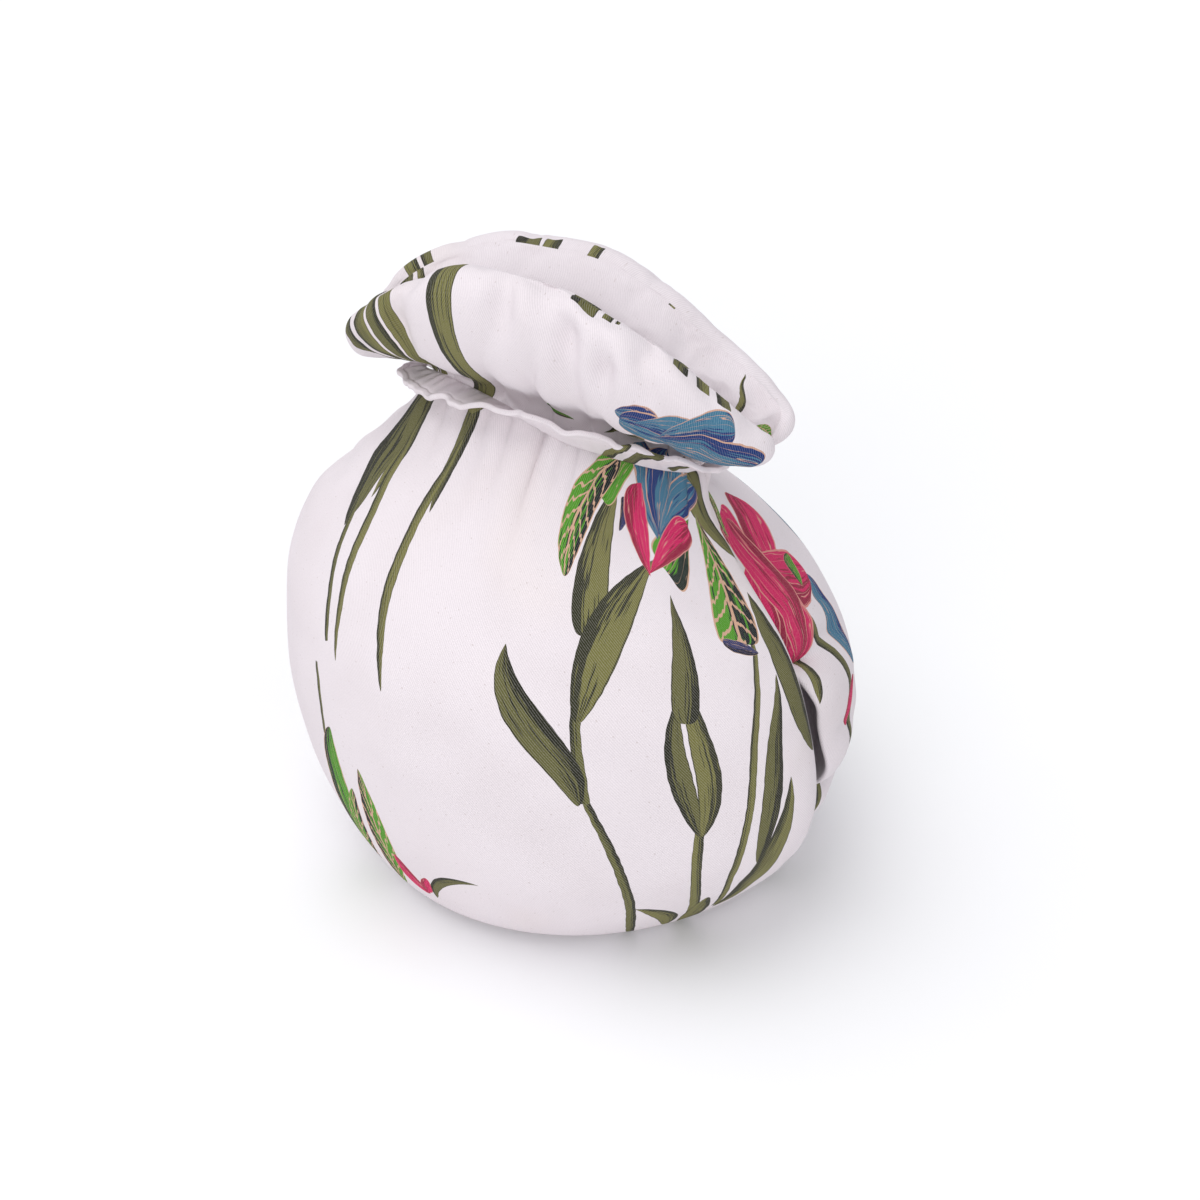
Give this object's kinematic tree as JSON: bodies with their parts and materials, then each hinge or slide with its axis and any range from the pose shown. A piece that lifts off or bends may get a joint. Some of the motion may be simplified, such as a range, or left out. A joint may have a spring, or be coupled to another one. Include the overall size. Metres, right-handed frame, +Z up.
{
  "type": "tea cosy",
  "caption": "Padded fabric tea cosy, hollow and standing on its hem, with an open slit at each end, a gathered and frilled neck, and puffed lips that lean outwards.",
  "frame": {"origin": "on the surface that the cosy stands on, under the middle of its box", "axes": "+Z up, +X towards the spout slit, -Y towards the front panel"},
  "size_m": [0.2329, 0.1918, 0.2662],
  "materials": {
    "printed_cotton": "cream cotton twill with a loose print of green leaves and coloured flowers, matt",
    "frill_cotton": "cream cotton twill, gathered and topstitched, matt"
  },
  "bodies": {
    "root": {"front_panel": "printed_cotton", "back_panel": "printed_cotton", "front_neck_frill": "frill_cotton", "back_neck_frill": "frill_cotton"}
  },
  "joints": []
}
